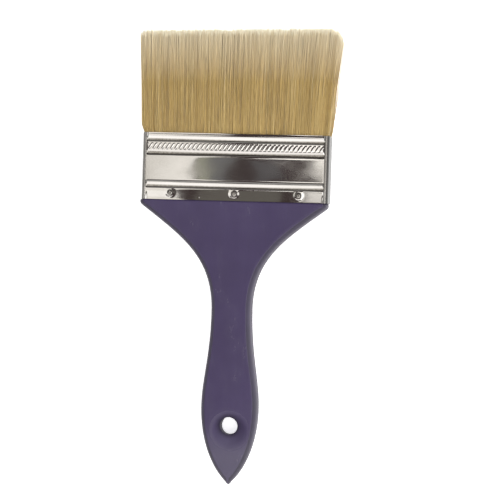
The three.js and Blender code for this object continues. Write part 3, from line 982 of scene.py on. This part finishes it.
def strand_faces(stations):
    """The sides of every strand's tube, then its root caps, then its tip caps."""
    per_strand = stations * STRAND_CORNERS
    ends = np.arange(STRANDS_PER_PACK)[:, None] * per_strand
    base = ends[:, :, None, None]
    row = (np.arange(stations - 1) * STRAND_CORNERS)[None, :, None, None]
    column = np.arange(STRAND_CORNERS)[None, None, :, None]
    beside = (column + 1) % STRAND_CORNERS
    sides = np.concatenate([base + row + column, base + row + column + STRAND_CORNERS,
                            base + row + beside + STRAND_CORNERS, base + row + beside], -1)
    cap = np.arange(STRAND_CORNERS)
    root_caps = ends + cap
    tip_caps = ends + per_strand - STRAND_CORNERS + cap[::-1]
    return sides.reshape(-1, 4).tolist() + root_caps.tolist() + tip_caps.tolist()


def shade_strands(obj, rng, paths, points):
    """Each strand's own shade, darker near the mouth, with painted shade in the partings and
    painted light at its pale tip.
    """
    root_x = paths[0][:, 0]
    mouth_z = paths[MOUTH_STATION][:, 2]
    own_shade = rng.normal(0, 1, STRANDS_PER_PACK)
    shade = MEAN_SHADE + 0.03 * waves(root_x, 2 * mouth_z, 1.3, seed=31)
    shade = shade + 0.04 * waves(root_x, 2 * mouth_z, 9, seed=32)
    for place_x, _, depth in PARTINGS:
        # painted shade in the partings
        shade = shade - 0.45 * depth * np.exp(-((root_x - place_x) / 0.45) ** 2)
    tip_y = paths[-1][:, 1]
    along = points[:, :, 1]
    # painted light at the tips
    pale = np.clip(1 - (tip_y[:, None] - along) / PALE_LENGTH, 0, 1)
    rooted = 1 - smoothstep(0, ROOT_SHADE_LENGTH, along - MOUTH_Y)
    contrast = 0.11 + 0.08 * smoothstep(0, TIP_Y - MOUTH_Y, along - MOUTH_Y)
    shade = shade[:, None] + contrast * own_shade[:, None] - ROOT_SHADE * rooted
    point_values(obj, "strand", np.clip(shade, 0, 1).ravel())
    point_values(obj, "warm", smoothstep(MOUTH_Y + 12, TIP_Y - 8, along).ravel())
    point_values(obj, "pale", pale.ravel())


def all_bristles():
    """The three packs of loose strands."""
    material = natural_bristle()
    plug_middle = (PLUG_LOW[2] + PLUG_HIGH[2]) / 2 - MIDDLE_Z
    packs = [("front", 1, plug_middle, FILLING_HALF_THICKNESS),
             ("middle", 0, -plug_middle, plug_middle),
             ("back", -1, -FILLING_HALF_THICKNESS, -plug_middle)]
    for number, (pack, facing, low, high) in enumerate(packs):
        rng = np.random.default_rng(100 + number)
        paths = strand_paths(rng, facing, low, high)
        points = strand_points(rng, paths)
        faces = strand_faces(len(paths))
        obj = mesh_object(f"strands_{pack}", points.reshape(-1, 3), faces, sharp_deg=180)
        shade_strands(obj, rng, paths, points)
        place(obj, material, "bristle", f"bristles_{pack}")


# ---- Pieces kept as the frame has them ----

def finish_kept_nodes():
    """The hidden resin and plugs keep their shape and get a material of their own."""
    wood = bare_wood()
    finishes = {"resin_setting": set_resin(), "plug_front": wood, "plug_back": wood}
    for node, material in finishes.items():
        for slot in frame["nodes"][node].material_slots:
            slot.material = material


# ---- Floor, light and camera ----

FLOOR_HALF_WIDTH = 6000
CARD_HEIGHT = 1000
CAMERA_TARGET = (8.5, 3.5, MIDDLE_Z)
CAMERA_DISTANCE = 1000
CAMERA_YAW = math.radians(7.9)  # towards the right end of the ferrule
CAMERA_PITCH = math.radians(-0.33)
CAMERA_ROLL = math.radians(1.82)
LENS = 135.2
SENSOR = 36
# The studio's walls and ceiling, as (height, colour) from the horizon to straight up
SKY = [(0.03, (0.80, 0.80, 0.80)), (0.25, (0.40, 0.40, 0.39)), (0.9, (0.054, 0.039, 0.039))]


def lay_floor():
    corners = FLOOR_HALF_WIDTH * np.array([(-1, -1, 0), (1, -1, 0), (1, 1, 0), (-1, 1, 0)], float)
    floor = mesh_object("floor", corners, [(0, 1, 2, 3)])
    floor.data.materials.append(pale_floor())


def area_light(name, place_mm, size_mm, radiance, aim_mm=(0, 0, 0), colour=(1, 1, 1),
               turn_deg=0, mirrored=True):
    """A soft rectangular light of even radiance, aimed at a point."""
    light = bpy.data.lights.new(name, "AREA")
    light.shape = "RECTANGLE"
    light.size, light.size_y = (side * MM for side in size_mm)
    light.energy = radiance * math.pi * light.size * light.size_y
    light.color = colour
    obj = bpy.data.objects.new(name, light)
    obj.location = Vector(place_mm) * MM
    aim = (Vector(aim_mm) - Vector(place_mm)).to_track_quat("-Z", "Y")
    obj.rotation_mode = "QUATERNION"
    obj.rotation_quaternion = aim @ Matrix.Rotation(math.radians(turn_deg), 3, "Z").to_quaternion()
    obj.visible_camera = False
    obj.visible_glossy = mirrored
    bpy.context.scene.collection.objects.link(obj)


def card(name, x, y, size_mm, radiance, colour, turn_deg=0):
    """A light straight above a place, for the tinplate to mirror."""
    area_light(name, (x, y, CARD_HEIGHT), size_mm, radiance, (x, y, 0), colour, turn_deg)


def light_the_scene():
    """A key light beside the camera, broad fills around it, and cards that the tinplate mirrors."""
    area_light("key_overhead", (230, -190, 1000), (440, 560), 2.7, (230, -190, 0), mirrored=False)
    area_light("card_key", (230, -190, 1010), (440, 560), 1.4, (230, -190, 0))
    area_light("fill_tail", (0, -800, 975), (1300, 1350), 1.1, colour=(1, 0.975, 0.965))
    area_light("fill_tips", (300, 1000, 800), (1300, 1000), 2.8, mirrored=False)
    area_light("fill_right", (1250, 0, 800), (1000, 900), 1.4, mirrored=False)
    card("card_left", -330, 150, (290, 330), 0.95, (1, 0.975, 0.925), -14)
    card("card_left_low", -345, -75, (250, 160), 1.1, (1, 0.985, 0.955))
    area_light("card_olive_low", (-140, -40, CARD_HEIGHT), (150, 90), 0.085, (-130, -40, 0),
               (0.95, 1, 0.85))
    card("card_right_low", -6, -45, (104, 130), 0.85, (1, 0.98, 0.94))
    card("card_olive", -181, 104, (14, 120), 0.3, (0.95, 1, 0.76), -14)
    card("card_grey", -164, 100, (24, 120), 0.13, (0.88, 0.97, 1), -14)
    card("card_blue", -107, 93, (36, 26), 0.08, (0.8, 0.93, 1), 20)
    card("card_right", -13, 145, (120, 200), 1.42, (1, 0.98, 0.94), 60)

    world = bpy.data.worlds.new("studio")
    bpy.context.scene.world = world
    world.use_nodes = True
    tree = world.node_tree
    coordinates = tree.nodes.new("ShaderNodeTexCoord")
    split = tree.nodes.new("ShaderNodeSeparateXYZ")
    ramp = tree.nodes.new("ShaderNodeValToRGB")
    tree.links.new(coordinates.outputs["Generated"], split.inputs["Vector"])
    tree.links.new(split.outputs["Z"], ramp.inputs["Fac"])
    tree.links.new(ramp.outputs["Color"], tree.nodes["Background"].inputs["Color"])
    ramp.color_ramp.elements.new(0.25)
    for element, (height, colour) in zip(ramp.color_ramp.elements, SKY):
        element.position = height
        element.color = (*colour, 1)


def set_camera():
    """The camera, far above the brush and a little to its right."""
    back = Vector((
        math.sin(CAMERA_YAW) * math.cos(CAMERA_PITCH),
        math.sin(CAMERA_PITCH),
        math.cos(CAMERA_YAW) * math.cos(CAMERA_PITCH),
    ))
    level_right = Vector((0, 1, 0)).cross(back).normalized()
    level_up = back.cross(level_right)
    right = math.cos(CAMERA_ROLL) * level_right + math.sin(CAMERA_ROLL) * level_up
    up = back.cross(right)
    camera = bpy.data.objects.new("camera", bpy.data.cameras.new("camera"))
    camera.data.lens = LENS
    camera.data.sensor_width = SENSOR
    place_m = (Vector(CAMERA_TARGET) + CAMERA_DISTANCE * back) * MM
    turned = Matrix((right, up, back)).transposed().to_4x4()
    camera.matrix_world = Matrix.Translation(place_m) @ turned
    bpy.context.scene.collection.objects.link(camera)
    bpy.context.scene.camera = camera


# ---- The scene ----

set_camera()
lay_floor()
light_the_scene()
bpy.context.scene.view_settings.view_transform = "Standard"
painted_handle()
tin_ferrule()
all_nails()
all_bristles()
finish_kept_nodes()
